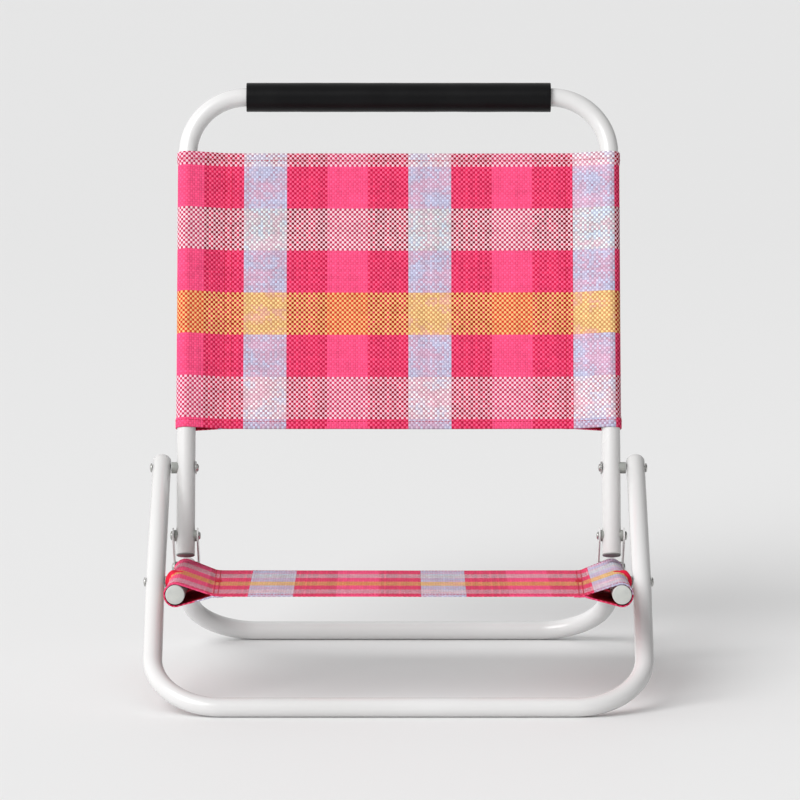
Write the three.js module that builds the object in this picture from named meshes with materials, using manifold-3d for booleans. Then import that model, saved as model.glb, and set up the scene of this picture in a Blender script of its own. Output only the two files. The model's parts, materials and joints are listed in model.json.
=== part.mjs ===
// A low folding camp chair: three bent steel tubes, a linkage of flat plates, two cloth slings
// and a foam hand grip.
//
// Millimetres, +Z up. The chair faces -Y, so the sitter's left is +X. The origin is on the floor,
// midway between the front bar and the rear bar.
//
// Each side of the chair is a four-bar linkage, seen from the side:
//   legPivot   joins the front leg to the seat rail
//   backPivot  joins the top of the front leg to the upright of the back
//   linkTop    joins the pair of link plates to the upright, below backPivot
//   linkFoot   joins the same plates to the seat rail, behind legPivot
// The linkage is drawn open. Folded, the uprights lie parallel above the seat rails.

import * as THREE from 'three';
import { mergeVertices } from 'three/addons/utils/BufferGeometryUtils.js';
import Module from 'manifold-3d';

const degrees = THREE.MathUtils.degToRad;

// ---------------------------------------------------------------- driving dimensions

const TUBE_RADIUS = 9.5;
const TUBE_WALL = 1.2;
const GAP = 0.3; // left between pieces that touch

const FOOTPRINT = 457.9; // front bar to rear bar, between tube centres
const LEG_LEAN = degrees(55.9); // front leg, from the vertical
const LEG_PIVOT_HEIGHT = 110.2;
const LEG_PIVOT_TO_BACK_PIVOT = 169.5;
const BACK_PIVOT_TO_LINK = 70.5;
const LINK_LENGTH = 69.9;
const FOLDED_SPACING = 22.6; // between upright and rail centres once folded

const RAIL_SLOPE = degrees(4.14); // seat rail, falling to the rear
const RAIL_AHEAD = 148.1; // front of the rail's end plug, ahead of legPivot
const RAIL_HALF_FRONT = 219.4; // chair centre to rail centre, at the front end
const RAIL_HALF_REAR = 216.5; // the same, at the rear bend and on the rear legs
const REAR_LEG_SLOPE = degrees(38); // rear leg, below the horizontal
const REAR_BEND_RADIUS = 50;
const REAR_CORNER_RADIUS = 70;

const LEG_HALF_FOOT = 243.4; // chair centre to front leg centre, from the bar up to legPivot
const LEG_HALF_TOP = 241.1; // the same, at backPivot
const FRONT_CORNER_RADIUS = 69;
const LEG_KINK_RADIUS = 200;
const LEG_PAST_PIVOT = 8.7; // tube beyond backPivot, below the domed cap

const UPRIGHT_HALF = 216.2;
const UPRIGHT_BELOW_PIVOT = 91.6; // backPivot to the bottom of the upright's plug
const GRIP_ABOVE_PIVOT = 389.9; // backPivot to the top bar's centre, along the back
const BACK_CORNER_RADIUS = 60;

const GRIP_RADIUS = 15;
const GRIP_LENGTH = 313;

const SLING_THICKNESS = 1;
const SEAT_DEPTH = 288;
const SEAT_BEHIND_PLUG = 3.3; // front of the rail's plug to the front hem
const SEAT_SEAM = 38; // rail centre to the sleeve's seam
const BACK_SLING_BOTTOM = 40.8; // above backPivot, along the back
const BACK_SLING_TOP = 330.2;
const BACK_SEAM = 47; // upright centre to the sleeve's seam
const PIVOT_NOTCH_RADIUS = 8; // cut in the seat sleeve round the spacer at legPivot

const PLATE_WIDTH = 16;
const PLATE_THICKNESS = 1.6;
const PLATE_OFFSET = 12.4; // tube centre to the middle of a plate
const SHANK_RADIUS = 2.5;
const HOLE_RADIUS = 2.95;
const HEAD_RADIUS = 4.7;
const HEAD_HEIGHT = 2.2;
const NUT_RADIUS = 4.3;
const NUT_HEIGHT = 2.2;
const NUT_THREAD_DEPTH = 1.2;
const SPACER_RADIUS = 5.85;
const WASHER_RADIUS = 6.6;
const WASHER_THICKNESS = 0.9;
const PLUG_FLANGE = 2.5;
const PLUG_STEM = 14;
const UPRIGHT_PLUG_FLANGE = 1.6;
const CAP_DOME = 6.1;
const CAP_STEM = 18;

const TUBE_SIDES = 16;
const TURNED_SIDES = 12;
const GRIP_SIDES = 24;
const BEND_STEP = degrees(15); // largest turn between two rings of a bent tube

const PAINT = { color: 0xf2f1f1, roughness: 0.25, metalness: 0.0 };
const GREY_PLASTIC = { color: 0xb4b5b0, roughness: 0.5, metalness: 0.0 };
const STEEL = { color: 0xc9c9c6, roughness: 0.3, metalness: 0.9 };
const FOAM = { color: 0x1c1c1d, roughness: 0.85, metalness: 0.0 };
const CLOTH = { color: 0xe23a66, roughness: 0.9, metalness: 0.0 };

// ---------------------------------------------------------------- side view: pivots and lines

// A point in the side view is a Vector2 of (Y, Z).
const along = (start, direction, distance) => start.clone().addScaledVector(direction, distance);

const legUp = new THREE.Vector2(Math.sin(LEG_LEAN), Math.cos(LEG_LEAN));
const railBack = new THREE.Vector2(Math.cos(RAIL_SLOPE), -Math.sin(RAIL_SLOPE));
const rearLegUp = new THREE.Vector2(-Math.cos(REAR_LEG_SLOPE), Math.sin(REAR_LEG_SLOPE));

// Each floor bar lies on one flat of its many-sided section.
const barHeight = TUBE_RADIUS * Math.cos(Math.PI / TUBE_SIDES);
const frontBar = new THREE.Vector2(-FOOTPRINT / 2, barHeight);
const rearBar = new THREE.Vector2(FOOTPRINT / 2, barHeight);
const legPivot = along(frontBar, legUp, (LEG_PIVOT_HEIGHT - barHeight) / legUp.y);
const backPivot = along(legPivot, legUp, LEG_PIVOT_TO_BACK_PIVOT);

// Folded flat, both pivots of the upright are FOLDED_SPACING above the rail, which sets linkFoot.
const foldedReach = (length) => Math.sqrt(length ** 2 - FOLDED_SPACING ** 2);
const linkFootDistance =
  foldedReach(LEG_PIVOT_TO_BACK_PIVOT) + BACK_PIVOT_TO_LINK - foldedReach(LINK_LENGTH);
const linkFoot = along(legPivot, railBack, linkFootDistance);

// linkTop is where the upright's circle about backPivot meets the link's circle about linkFoot,
// on the side towards the sitter.
const linkTop = frontCrossing(backPivot, BACK_PIVOT_TO_LINK, linkFoot, LINK_LENGTH);
const backUp = backPivot.clone().sub(linkTop).normalize();

// The rail and the rear leg, drawn on to the point where they would cross.
const rearBend = crossing(legPivot, railBack, rearBar, rearLegUp);

function frontCrossing(centreA, radiusA, centreB, radiusB) {
  const apart = centreB.clone().sub(centreA);
  const distance = apart.length();
  const reach = (radiusA ** 2 - radiusB ** 2 + distance ** 2) / (2 * distance);
  const height = Math.sqrt(radiusA ** 2 - reach ** 2);
  const direction = apart.clone().normalize();
  const towardsFront = new THREE.Vector2(direction.y, -direction.x);
  return along(along(centreA, direction, reach), towardsFront, height);
}

function crossing(pointA, directionA, pointB, directionB) {
  const apart = pointB.clone().sub(pointA);
  const distance = apart.cross(directionB) / directionA.cross(directionB);
  return along(pointA, directionA, distance);
}

// Half the distance between the rails, at a distance behind legPivot.
const railFrontDistance = PLUG_FLANGE - RAIL_AHEAD;
const rearBendDistance = rearBend.distanceTo(legPivot);
function railHalf(distance) {
  const share = THREE.MathUtils.inverseLerp(railFrontDistance, rearBendDistance, distance);
  return THREE.MathUtils.lerp(RAIL_HALF_FRONT, RAIL_HALF_REAR, share);
}
const linkFootHalf = railHalf(linkFootDistance);

const inSpace = (half, sidePoint) => new THREE.Vector3(half, sidePoint.x, sidePoint.y);

// ---------------------------------------------------------------- solids

const wasm = await Module();
wasm.setup();

function toSolid(geometry) {
  const bare = geometry.clone();
  bare.deleteAttribute('normal');
  bare.deleteAttribute('uv');
  const merged = mergeVertices(bare, 1e-4);
  const corners = Array.from(merged.index.array);
  const kept = [];
  for (let i = 0; i < corners.length; i += 3) {
    const [a, b, c] = corners.slice(i, i + 3);
    if (a !== b && b !== c && c !== a) kept.push(a, b, c);
  }
  return new wasm.Manifold(
    new wasm.Mesh({
      numProp: 3,
      vertProperties: new Float32Array(merged.attributes.position.array),
      triVerts: new Uint32Array(kept),
    }),
  );
}

function toGeometry(solid) {
  const mesh = solid.getMesh();
  const geometry = new THREE.BufferGeometry();
  geometry.setAttribute('position', new THREE.BufferAttribute(mesh.vertProperties, 3));
  geometry.setIndex(new THREE.BufferAttribute(mesh.triVerts, 1));
  geometry.computeVertexNormals();
  return geometry;
}

function cut(geometry, cutters) {
  let solid = toSolid(geometry);
  for (const cutter of cutters) solid = solid.subtract(toSolid(cutter));
  return toGeometry(solid);
}

// A cylinder along X, for bolt holes and notches.
function crossDrill(radius, centreX, length, sidePoint) {
  const drill = new THREE.CylinderGeometry(radius, radius, length, TURNED_SIDES);
  drill.rotateZ(Math.PI / 2);
  drill.translate(centreX, sidePoint.x, sidePoint.y);
  return drill;
}

function boltHoles(half, sidePoint) {
  const length = 2.6 * TUBE_RADIUS;
  return [1, -1].map((sign) => crossDrill(HOLE_RADIUS, sign * half, length, sidePoint));
}

// A path of straight runs and round bends. It is sampled where the shape needs it: at the ends of
// each straight, and in equal turns round each bend.
class BentPath extends THREE.Curve {
  constructor(corners, bendRadii) {
    super();
    this.stations = [];
    const last = corners.length - 1;
    this.addStation(corners[0], corners[1].clone().sub(corners[0]).normalize());
    for (let i = 1; i < last; i++) {
      const arriving = corners[i].clone().sub(corners[i - 1]).normalize();
      const leaving = corners[i + 1].clone().sub(corners[i]).normalize();
      this.addBend(corners[i], arriving, leaving, bendRadii[i - 1]);
    }
    this.addStation(corners[last], corners[last].clone().sub(corners[last - 1]).normalize());
  }

  addStation(point, tangent) {
    this.stations.push({ point, tangent });
  }

  addBend(corner, arriving, leaving, radius) {
    const turn = arriving.angleTo(leaving);
    const axis = arriving.clone().cross(leaving).normalize();
    const start = corner.clone().addScaledVector(arriving, -radius * Math.tan(turn / 2));
    const inward = axis.clone().cross(arriving);
    const centre = start.clone().addScaledVector(inward, radius);
    const steps = Math.ceil(turn / BEND_STEP);
    for (let i = 0; i <= steps; i++) {
      const angle = (turn * i) / steps;
      const spoke = inward.clone().negate().applyAxisAngle(axis, angle);
      const point = centre.clone().addScaledVector(spoke, radius);
      this.addStation(point, arriving.clone().applyAxisAngle(axis, angle));
    }
  }

  station(share) {
    return this.stations[Math.round(share * (this.stations.length - 1))];
  }

  getPoint(share) {
    return this.station(share).point.clone();
  }

  getPointAt(share) {
    return this.getPoint(share);
  }

  getTangentAt(share) {
    return this.station(share).tangent.clone();
  }
}

// The angle, in the section's own plane, that faces straight down where the path is half done.
function downwardAngle(path, steps) {
  const { normals, binormals } = path.computeFrenetFrames(steps, false);
  const middle = Math.floor(steps / 2);
  return Math.atan2(-binormals[middle].z, -normals[middle].z);
}

// A hollow tube, turned about its own centre line so that the middle run has a flat underneath.
function bentTube(corners, bendRadii) {
  const path = new BentPath(corners, bendRadii);
  const steps = path.stations.length - 1;
  const first = downwardAngle(path, steps) + Math.PI / TUBE_SIDES;
  const section = new THREE.Shape();
  section.absarc(0, 0, TUBE_RADIUS, first, first + 2 * Math.PI);
  const bore = new THREE.Path();
  bore.absarc(0, 0, TUBE_RADIUS - TUBE_WALL, first, first + 2 * Math.PI);
  section.holes.push(bore);
  return new THREE.ExtrudeGeometry(section, {
    steps,
    curveSegments: TUBE_SIDES / 2,
    extrudePath: path,
  });
}

// A U of tube from one side to the other: the corners of the +X half, end first, are mirrored.
function mirroredTube(halfCorners, halfRadii) {
  const mirrored = halfCorners.map((corner) => new THREE.Vector3(-corner.x, corner.y, corner.z));
  return bentTube([...halfCorners, ...mirrored.reverse()], [...halfRadii, ...halfRadii.toReversed()]);
}

// A turned piece. The profile is a list of [distance along the axis, radius], with the outside of
// the piece listed from the low end to the high end.
function turned(profile, sides = TURNED_SIDES) {
  const points = profile.map(([distance, radius]) => new THREE.Vector2(radius, distance));
  return new THREE.LatheGeometry(points, sides);
}

const ring = (low, high, bore, radius) =>
  turned([[low, bore], [low, radius], [high, radius], [high, bore], [low, bore]]);

// ---------------------------------------------------------------- scene graph

const chair = new THREE.Group();
const seatFrame = new THREE.Group();
const frontLeg = new THREE.Group();
const backFrame = new THREE.Group();
const links = new THREE.Group();
chair.add(seatFrame, frontLeg, backFrame, links);

function addPiece(group, name, geometry, finish) {
  const piece = new THREE.Mesh(geometry, new THREE.MeshStandardMaterial(finish));
  piece.name = name;
  group.add(piece);
  return piece;
}

// A turned piece on a pivot, with its profile measured outward from the chair's centre plane.
function addOnPivot(group, name, geometry, finish, side, pivot) {
  const piece = addPiece(group, `${name}_${side.name}`, geometry, finish);
  piece.rotation.z = (-side.sign * Math.PI) / 2;
  piece.position.set(0, pivot.x, pivot.y);
  return piece;
}

const sides = [{ name: 'left', sign: 1 }, { name: 'right', sign: -1 }];

// ---------------------------------------------------------------- tubes

const railEnd = along(legPivot, railBack, railFrontDistance);
const seatTube = mirroredTube(
  [
    inSpace(RAIL_HALF_FRONT, railEnd),
    inSpace(RAIL_HALF_REAR, rearBend),
    inSpace(RAIL_HALF_REAR, rearBar),
  ],
  [REAR_BEND_RADIUS, REAR_CORNER_RADIUS],
);
addPiece(
  seatFrame,
  'seat_frame_tube',
  cut(seatTube, [...boltHoles(railHalf(0), legPivot), ...boltHoles(linkFootHalf, linkFoot)]),
  PAINT,
);

const legToeIn = (LEG_HALF_TOP - LEG_HALF_FOOT) / LEG_PIVOT_TO_BACK_PIVOT;
const legEndDistance = LEG_PIVOT_TO_BACK_PIVOT + LEG_PAST_PIVOT;
const legEnd = inSpace(
  LEG_HALF_FOOT + legToeIn * legEndDistance,
  along(legPivot, legUp, legEndDistance),
);
const legTube = mirroredTube(
  [legEnd, inSpace(LEG_HALF_FOOT, legPivot), inSpace(LEG_HALF_FOOT, frontBar)],
  [LEG_KINK_RADIUS, FRONT_CORNER_RADIUS],
);
addPiece(
  frontLeg,
  'front_leg_tube',
  cut(legTube, [...boltHoles(LEG_HALF_FOOT, legPivot), ...boltHoles(LEG_HALF_TOP, backPivot)]),
  PAINT,
);

const uprightEnd = along(backPivot, backUp, UPRIGHT_PLUG_FLANGE - UPRIGHT_BELOW_PIVOT);
const topBar = along(backPivot, backUp, GRIP_ABOVE_PIVOT);
const backTube = mirroredTube(
  [inSpace(UPRIGHT_HALF, uprightEnd), inSpace(UPRIGHT_HALF, topBar)],
  [BACK_CORNER_RADIUS],
);
addPiece(
  backFrame,
  'back_frame_tube',
  cut(backTube, [...boltHoles(UPRIGHT_HALF, backPivot), ...boltHoles(UPRIGHT_HALF, linkTop)]),
  PAINT,
);

// ---------------------------------------------------------------- foam hand grip

const gripBore = TUBE_RADIUS + GAP;
const gripEdge = 1.5; // rounding of the foam's ends
const gripHalf = GRIP_LENGTH / 2;
const grip = addPiece(
  backFrame,
  'hand_grip',
  turned(
    [
      [-gripHalf, gripBore],
      [-gripHalf, GRIP_RADIUS - gripEdge],
      [-gripHalf + gripEdge, GRIP_RADIUS],
      [gripHalf - gripEdge, GRIP_RADIUS],
      [gripHalf, GRIP_RADIUS - gripEdge],
      [gripHalf, gripBore],
      [-gripHalf, gripBore],
    ],
    GRIP_SIDES,
  ),
  FOAM,
);
grip.rotation.z = -Math.PI / 2;
grip.position.set(0, topBar.x, topBar.y);

// ---------------------------------------------------------------- plugs and caps in the tube ends

const stemRadius = TUBE_RADIUS - TUBE_WALL - GAP - 0.2;

// A round plug: a stem inside the tube and a flange on its end, facing +Y of the piece.
function endPlug(flange, stem) {
  const bevel = 0.5;
  return turned([
    [-stem, 0],
    [-stem, stemRadius],
    [GAP, stemRadius],
    [GAP, TUBE_RADIUS],
    [flange - bevel, TUBE_RADIUS],
    [flange, TUBE_RADIUS - bevel],
    [flange, 0],
  ]);
}

// A domed cap, with its stem long enough for the bolt at backPivot to pass through it.
function domedCap() {
  const profile = [[-CAP_STEM, 0], [-CAP_STEM, stemRadius], [GAP, stemRadius]];
  const steps = 4;
  for (let i = 0; i <= steps; i++) {
    const angle = (Math.PI / 2) * (i / steps);
    const radius = i === steps ? 0 : TUBE_RADIUS * Math.cos(angle);
    profile.push([GAP + (CAP_DOME - GAP) * Math.sin(angle), radius]);
  }
  return turned(profile);
}

// Turns a geometry's +Y axis to a direction and moves its origin to a point.
function placeAlong(geometry, end, direction) {
  const turn = new THREE.Quaternion().setFromUnitVectors(new THREE.Vector3(0, 1, 0), direction);
  geometry.applyQuaternion(turn);
  geometry.translate(end.x, end.y, end.z);
  return geometry;
}

const mirrorX = (vector, sign) => new THREE.Vector3(sign * vector.x, vector.y, vector.z);
const railTaper = railHalf(0) - railHalf(1); // widening towards the front, for each unit of run
const railForward = inSpace(railTaper, railBack.clone().negate()).normalize();
const legTopward = inSpace(legToeIn, legUp).normalize();
const uprightDown = inSpace(0, backUp.clone().negate());

for (const side of sides) {
  const onSide = (vector) => mirrorX(vector, side.sign);
  addPiece(
    seatFrame,
    `rail_plug_${side.name}`,
    placeAlong(
      endPlug(PLUG_FLANGE, PLUG_STEM),
      onSide(inSpace(RAIL_HALF_FRONT, railEnd)),
      onSide(railForward),
    ),
    GREY_PLASTIC,
  );
  addPiece(
    backFrame,
    `upright_plug_${side.name}`,
    placeAlong(
      endPlug(UPRIGHT_PLUG_FLANGE, PLUG_STEM),
      onSide(inSpace(UPRIGHT_HALF, uprightEnd)),
      uprightDown,
    ),
    GREY_PLASTIC,
  );
  const cap = placeAlong(domedCap(), onSide(legEnd), onSide(legTopward));
  addPiece(frontLeg, `leg_cap_${side.name}`, cut(cap, boltHoles(LEG_HALF_TOP, backPivot)), PAINT);
}

// ---------------------------------------------------------------- slings

// The section of a sling: a thin panel whose ends are sewn back on themselves as a sleeve round
// each tube, drop-shaped, with the point of the drop at the seam.
function slingSection(tubeHalf, seam) {
  const innerRadius = TUBE_RADIUS + GAP + 0.1;
  const outerRadius = innerRadius + SLING_THICKNESS;
  const halfPanel = SLING_THICKNESS / 2;
  const spread = Math.asin((outerRadius - halfPanel) / seam);
  const tangent = Math.PI / 2 + spread; // from straight outward to where the cloth leaves the tube
  const section = new THREE.Shape();
  section.absarc(tubeHalf, 0, outerRadius, -tangent, tangent, false);
  section.lineTo(tubeHalf - seam, halfPanel);
  section.lineTo(seam - tubeHalf, halfPanel);
  section.absarc(-tubeHalf, 0, outerRadius, Math.PI - tangent, Math.PI + tangent, false);
  section.lineTo(seam - tubeHalf, -halfPanel);
  section.lineTo(tubeHalf - seam, -halfPanel);
  section.closePath();
  for (const sign of [1, -1]) {
    const middle = sign > 0 ? 0 : Math.PI;
    const sleeve = new THREE.Path();
    sleeve.absarc(sign * tubeHalf, 0, innerRadius, middle - tangent, middle + tangent, false);
    sleeve.lineTo(sign * (tubeHalf - innerRadius / Math.sin(spread)), 0);
    sleeve.closePath();
    section.holes.push(sleeve);
  }
  return section;
}

function extrudeSling(section, length) {
  return new THREE.ExtrudeGeometry(section, { depth: length, bevelEnabled: false, curveSegments: 8 });
}

// Stands an extrusion up: its own Z runs along the given side-view direction, X stays across.
function standAlong(geometry, start, direction) {
  const run = inSpace(0, direction);
  const across = new THREE.Vector3(1, 0, 0);
  const normal = run.clone().cross(across);
  geometry.applyMatrix4(new THREE.Matrix4().makeBasis(across, normal, run));
  geometry.translate(0, start.x, start.y);
  return geometry;
}

const seatFrontDistance = SEAT_BEHIND_PLUG - RAIL_AHEAD;
const seatRearDistance = seatFrontDistance + SEAT_DEPTH;

function seatSling() {
  const rearHalf = railHalf(seatRearDistance);
  const widening = railHalf(seatFrontDistance) / rearHalf - 1;
  const sling = extrudeSling(slingSection(rearHalf, SEAT_SEAM), SEAT_DEPTH);
  const position = sling.attributes.position;
  for (let i = 0; i < position.count; i++) {
    const share = position.getZ(i) / SEAT_DEPTH;
    position.setX(i, position.getX(i) * (1 + widening * share));
  }
  const rear = along(legPivot, railBack, seatRearDistance);
  standAlong(sling, rear, railBack.clone().negate());
  const notches = [1, -1].map((sign) =>
    crossDrill(PIVOT_NOTCH_RADIUS, sign * (railHalf(0) + TUBE_RADIUS), 2 * TUBE_RADIUS, legPivot),
  );
  return cut(sling, notches);
}

function backSling() {
  const sling = extrudeSling(
    slingSection(UPRIGHT_HALF, BACK_SEAM),
    BACK_SLING_TOP - BACK_SLING_BOTTOM,
  );
  return standAlong(sling, along(backPivot, backUp, BACK_SLING_BOTTOM), backUp);
}

addPiece(seatFrame, 'seat_sling', seatSling(), CLOTH);
addPiece(backFrame, 'back_sling', backSling(), CLOTH);

// ---------------------------------------------------------------- link plates

// A flat bar with round ends and a hole at each pivot, drawn in the side view.
function linkPlate(lowX) {
  const slope = linkTop.clone().sub(linkFoot).angle();
  const outline = new THREE.Shape();
  const radius = PLATE_WIDTH / 2;
  outline.absarc(linkTop.x, linkTop.y, radius, slope - Math.PI / 2, slope + Math.PI / 2, false);
  outline.absarc(linkFoot.x, linkFoot.y, radius, slope + Math.PI / 2, slope + 1.5 * Math.PI, false);
  outline.closePath();
  for (const pivot of [linkTop, linkFoot]) {
    const hole = new THREE.Path();
    hole.absarc(pivot.x, pivot.y, HOLE_RADIUS, 0, 2 * Math.PI, false);
    outline.holes.push(hole);
  }
  const plate = new THREE.ExtrudeGeometry(outline, {
    depth: PLATE_THICKNESS,
    bevelEnabled: false,
    curveSegments: 7,
  });
  const toSideView = new THREE.Matrix4().makeBasis(
    new THREE.Vector3(0, 1, 0),
    new THREE.Vector3(0, 0, 1),
    new THREE.Vector3(1, 0, 0),
  );
  plate.applyMatrix4(toSideView);
  plate.translate(lowX, 0, 0);
  return plate;
}

const plateHalf = (UPRIGHT_HALF + linkFootHalf) / 2;
for (const side of sides) {
  for (const [place, offset] of [['outer', PLATE_OFFSET], ['inner', -PLATE_OFFSET]]) {
    const middle = side.sign * (plateHalf + offset);
    addPiece(links, `link_plate_${place}_${side.name}`, linkPlate(middle - PLATE_THICKNESS / 2), PAINT);
  }
}

// ---------------------------------------------------------------- bolts, nuts, washers, spacers

// A round-headed bolt: its shank from low, its head on the surface at high.
const bolt = (low, high) =>
  turned([
    [low, 0],
    [low, SHANK_RADIUS],
    [high, SHANK_RADIUS],
    [high, HEAD_RADIUS],
    [high + 0.3 * HEAD_HEIGHT, 0.97 * HEAD_RADIUS],
    [high + 0.75 * HEAD_HEIGHT, 0.7 * HEAD_RADIUS],
    [high + HEAD_HEIGHT, 0],
  ]);

// A domed nut whose open face is at high, with a blind hole for the bolt's end.
const domedNut = (high) =>
  turned([
    [high - NUT_HEIGHT, 0],
    [high - 0.85 * NUT_HEIGHT, 0.65 * NUT_RADIUS],
    [high - 0.55 * NUT_HEIGHT, NUT_RADIUS],
    [high, NUT_RADIUS],
    [high, HOLE_RADIUS],
    [high - NUT_THREAD_DEPTH, HOLE_RADIUS],
    [high - NUT_THREAD_DEPTH, 0],
  ]);

// The same nut with the threaded end of its bolt, which runs out to far.
const nutWithThread = (high, far) =>
  turned([
    [high - NUT_HEIGHT, 0],
    [high - 0.85 * NUT_HEIGHT, 0.65 * NUT_RADIUS],
    [high - 0.55 * NUT_HEIGHT, NUT_RADIUS],
    [high, NUT_RADIUS],
    [high, SHANK_RADIUS],
    [far, SHANK_RADIUS],
    [far, 0],
  ]);

// A spacer between low and high, hollowed on one end to sit on the tube whose centre is at
// tubeHalf and which runs along the given side-view direction. In the piece's own frame +Y is
// outward from the chair, +Z is up and X is front to rear, with its sign set by the side.
function saddleSpacer(low, high, tubeHalf, tubeDirection, side) {
  const radius = TUBE_RADIUS + GAP;
  const tube = new THREE.CylinderGeometry(radius, radius, 6 * SPACER_RADIUS, GRIP_SIDES);
  const run = new THREE.Vector3(-side.sign * tubeDirection.x, 0, tubeDirection.y);
  const centre = new THREE.Vector3(0, tubeHalf, 0);
  return cut(ring(low, high, HOLE_RADIUS, SPACER_RADIUS), [placeAlong(tube, centre, run)]);
}

const saddleDepth = 1.6; // how far a spacer reaches down the side of its tube
const plateOuterFace = PLATE_OFFSET + PLATE_THICKNESS / 2;
const plateInnerFace = PLATE_OFFSET - PLATE_THICKNESS / 2;

for (const side of sides) {
  // linkTop and linkFoot: head, plate, spacer, tube, spacer, plate, nut.
  const plated = [
    { name: 'link_top', pivot: linkTop, half: UPRIGHT_HALF, run: backUp, group: backFrame },
    { name: 'link_foot', pivot: linkFoot, half: linkFootHalf, run: railBack, group: seatFrame },
  ];
  for (const { name, pivot, half, run, group } of plated) {
    const head = plateHalf + plateOuterFace + GAP;
    const nutFace = plateHalf - plateOuterFace - GAP;
    const shankEnd = nutFace - NUT_THREAD_DEPTH + GAP;
    addOnPivot(group, `${name}_bolt`, bolt(shankEnd, head), STEEL, side, pivot);
    addOnPivot(group, `${name}_nut`, domedNut(nutFace), STEEL, side, pivot);
    const outerSpacer = saddleSpacer(
      half + TUBE_RADIUS - saddleDepth,
      plateHalf + plateInnerFace - GAP,
      half,
      run,
      side,
    );
    const innerSpacer = saddleSpacer(
      plateHalf - plateInnerFace + GAP,
      half - TUBE_RADIUS + saddleDepth,
      half,
      run,
      side,
    );
    addOnPivot(group, `${name}_spacer_outer`, outerSpacer, GREY_PLASTIC, side, pivot);
    addOnPivot(group, `${name}_spacer_inner`, innerSpacer, GREY_PLASTIC, side, pivot);
  }

  // legPivot: head, leg tube, spacer, rail tube, nut inside the seat's sleeve.
  const legPivotHead = LEG_HALF_FOOT + TUBE_RADIUS + GAP;
  const legPivotNut = railHalf(0) - TUBE_RADIUS - GAP;
  const legSpacer = saddleSpacer(
    railHalf(0) + TUBE_RADIUS - saddleDepth,
    LEG_HALF_FOOT - TUBE_RADIUS - GAP,
    railHalf(0),
    railBack,
    side,
  );
  addOnPivot(
    seatFrame,
    'leg_pivot_bolt',
    bolt(legPivotNut - NUT_THREAD_DEPTH + GAP, legPivotHead),
    STEEL,
    side,
    legPivot,
  );
  addOnPivot(seatFrame, 'leg_pivot_nut', domedNut(legPivotNut), STEEL, side, legPivot);
  addOnPivot(seatFrame, 'leg_pivot_spacer', legSpacer, GREY_PLASTIC, side, legPivot);

  // backPivot: head and shank on the leg; spacer, threaded end, washer and nut on the upright.
  const backPivotHead = LEG_HALF_TOP + TUBE_RADIUS + GAP;
  const legInnerFace = LEG_HALF_TOP - TUBE_RADIUS;
  const uprightInnerFace = UPRIGHT_HALF - TUBE_RADIUS;
  const washerFace = uprightInnerFace - GAP;
  const nutFace = washerFace - WASHER_THICKNESS - GAP;
  const backSpacer = saddleSpacer(
    UPRIGHT_HALF + TUBE_RADIUS - saddleDepth,
    legInnerFace - 1.5 * GAP,
    UPRIGHT_HALF,
    backUp,
    side,
  );
  addOnPivot(
    frontLeg,
    'back_pivot_bolt',
    bolt(legInnerFace + GAP, backPivotHead),
    STEEL,
    side,
    backPivot,
  );
  addOnPivot(
    backFrame,
    'back_pivot_nut',
    nutWithThread(nutFace, legInnerFace - 1.5 * GAP),
    STEEL,
    side,
    backPivot,
  );
  addOnPivot(
    backFrame,
    'back_pivot_washer',
    ring(washerFace - WASHER_THICKNESS, washerFace, HOLE_RADIUS, WASHER_RADIUS),
    STEEL,
    side,
    backPivot,
  );
  addOnPivot(backFrame, 'back_pivot_spacer', backSpacer, GREY_PLASTIC, side, backPivot);
}

export default chair;
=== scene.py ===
"""The looks of a low folding camp chair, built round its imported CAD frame.

Metres, +Z up. The chair faces -Y and the sitter's left is +X. A point in the side view is a
2-D Vector of (Y, Z). The frame's pivots and boxes say where things are. This script adds smooth
tubes, two woven slings with sleeves, hems and stitching, a foam grip, plates, turned hardware
and the materials of all of them.
"""

import json
import math
from collections import namedtuple

import bmesh
import bpy
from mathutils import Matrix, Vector, noise


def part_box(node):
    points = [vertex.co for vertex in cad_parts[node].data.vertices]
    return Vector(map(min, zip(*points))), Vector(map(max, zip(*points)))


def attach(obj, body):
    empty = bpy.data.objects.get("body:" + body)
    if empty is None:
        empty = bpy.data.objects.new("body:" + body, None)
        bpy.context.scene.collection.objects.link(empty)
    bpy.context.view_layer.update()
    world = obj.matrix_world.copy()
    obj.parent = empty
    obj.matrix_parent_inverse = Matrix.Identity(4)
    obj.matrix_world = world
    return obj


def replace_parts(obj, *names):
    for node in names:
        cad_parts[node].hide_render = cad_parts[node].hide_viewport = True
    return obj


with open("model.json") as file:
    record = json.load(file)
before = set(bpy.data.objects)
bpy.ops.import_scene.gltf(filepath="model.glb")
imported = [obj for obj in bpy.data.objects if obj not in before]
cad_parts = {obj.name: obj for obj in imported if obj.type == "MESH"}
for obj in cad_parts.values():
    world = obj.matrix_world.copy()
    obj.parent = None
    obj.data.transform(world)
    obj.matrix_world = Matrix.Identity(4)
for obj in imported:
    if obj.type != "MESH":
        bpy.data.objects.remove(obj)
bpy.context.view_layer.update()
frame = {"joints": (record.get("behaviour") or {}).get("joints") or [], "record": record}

MM = 0.001

# ---------- driving dimensions, as in CAD

TUBE_RADIUS = 9.5 * MM
TUBE_WALL = 1.2 * MM
TUBE_LIP = 0.4 * MM
TUBE_SIDES = 48
BEND_STEP = math.radians(3)

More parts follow.
